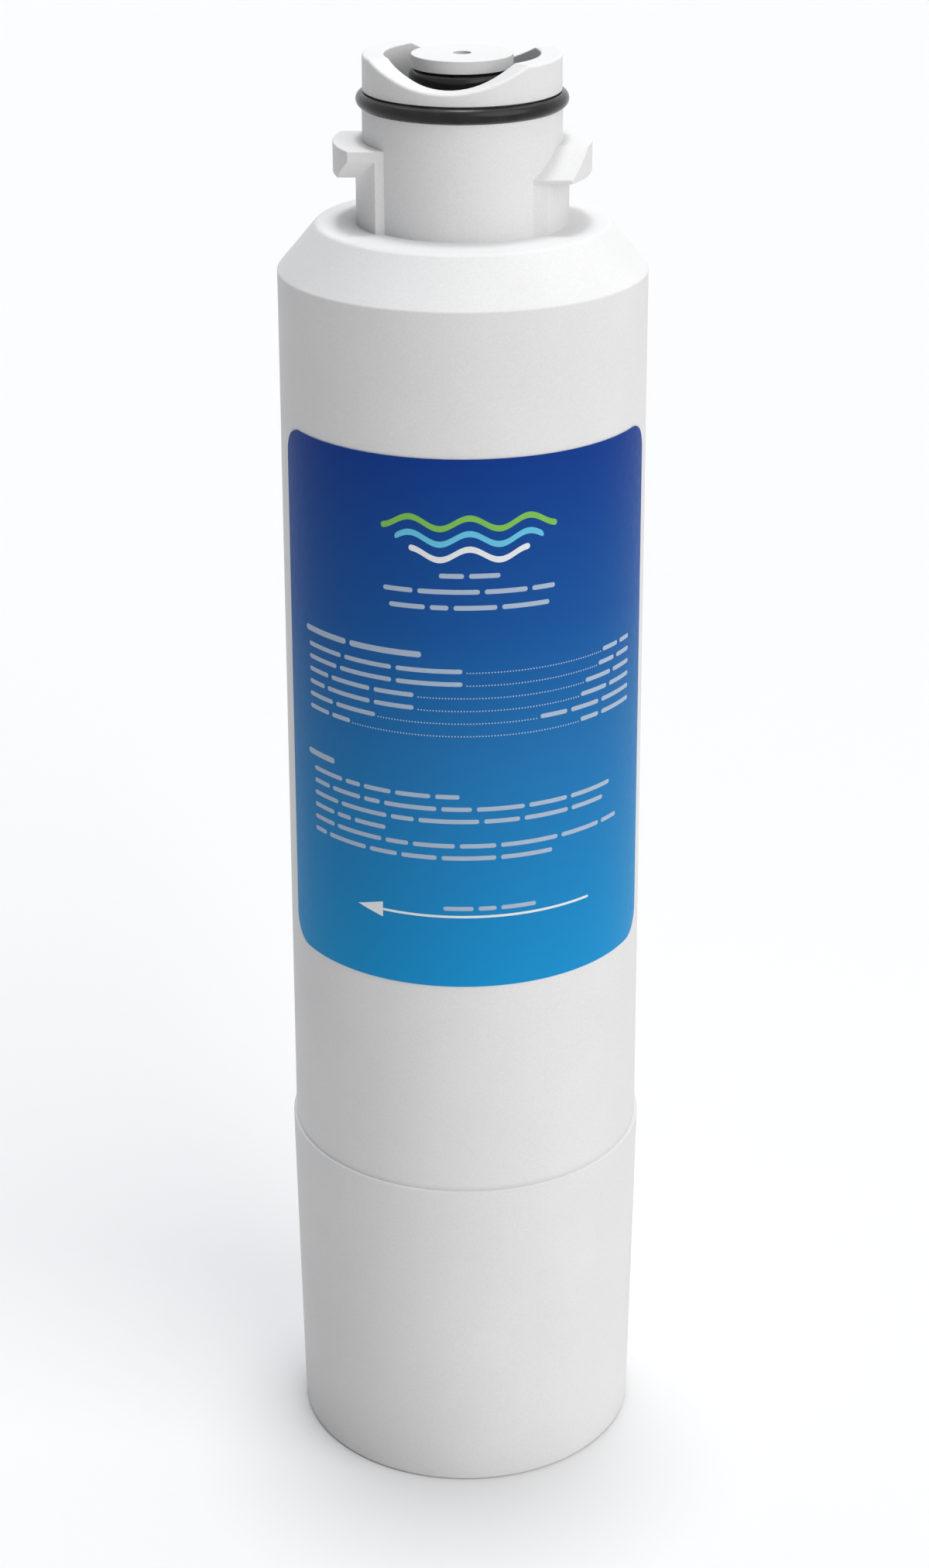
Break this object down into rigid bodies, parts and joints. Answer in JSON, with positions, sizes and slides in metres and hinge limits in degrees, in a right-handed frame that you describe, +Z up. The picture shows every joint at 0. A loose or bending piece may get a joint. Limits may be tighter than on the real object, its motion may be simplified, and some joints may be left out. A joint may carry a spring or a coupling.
{
  "type": "fridge water filter cartridge",
  "caption": "Tall white plastic filter cartridge with a bayonet neck, seal ring, wavy cam rim and central outlet spigot; twists into a fridge's filter holder to clean its water.",
  "frame": {"origin": "centre of the base, on the surface the cartridge stands on", "axes": "+Z up the cartridge axis to the neck, -Y towards the middle of the label, +X to the label's right"},
  "size_m": [0.0584, 0.0584, 0.2335],
  "materials": {
    "white_plastic": "fine eroded mould grain",
    "black_rubber": "satin",
    "pressed_carbon": "porous, matt",
    "non_woven": "matt fibre",
    "label_film": "satin printed film"
  },
  "bodies": {
    "root": {"upper_housing": "white_plastic", "lower_cup": "white_plastic", "neck_seal_ring": "black_rubber", "upper_end_cap": "white_plastic", "spigot_seal_ring": "black_rubber", "carbon_block": "pressed_carbon", "prefilter_wrap": "non_woven", "lower_end_cap": "white_plastic", "label": "label_film"}
  },
  "joints": []
}
